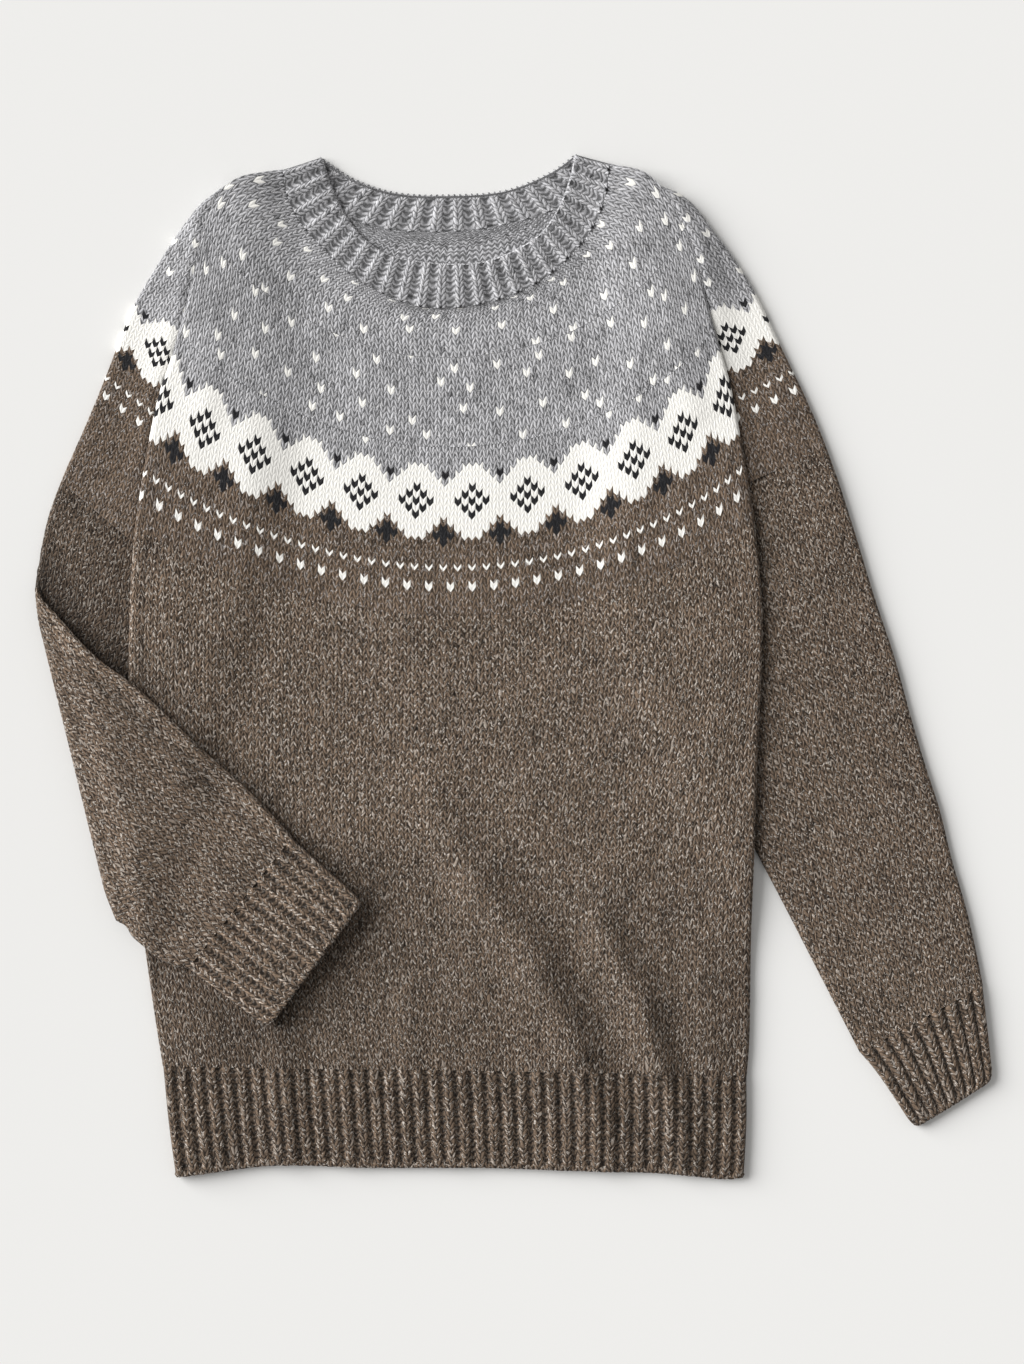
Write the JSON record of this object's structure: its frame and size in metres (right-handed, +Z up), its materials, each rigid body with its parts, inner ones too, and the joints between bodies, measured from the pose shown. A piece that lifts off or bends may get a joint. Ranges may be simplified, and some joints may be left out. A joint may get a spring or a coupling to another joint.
{
  "type": "nordic yoke sweater, laid flat",
  "caption": "Hand-knitted wool yoke sweater laid flat, grey yoke over a brown body, with one sleeve folded over the front.",
  "frame": {"origin": "centre of the bounding box on the surface that the garment lies on", "axes": "+Z up off the surface, +Y from hem to neck, +X to the wearer's left as the front faces up"},
  "size_m": [0.6742, 0.7161, 0.0194],
  "materials": {
    "grey_wool": "matt",
    "brown_wool": "matt"
  },
  "bodies": {
    "root": {"neckband_front": "grey_wool", "neckband_back": "grey_wool", "yoke_front": "grey_wool", "yoke_back": "grey_wool", "yoke_side_left": "grey_wool", "yoke_side_right": "grey_wool", "body_front": "brown_wool", "body_back": "brown_wool", "hem_rib_front": "brown_wool", "hem_rib_back": "brown_wool", "sleeve_left": "brown_wool", "sleeve_right": "brown_wool", "cuff_left": "brown_wool", "cuff_right": "brown_wool"}
  },
  "joints": []
}
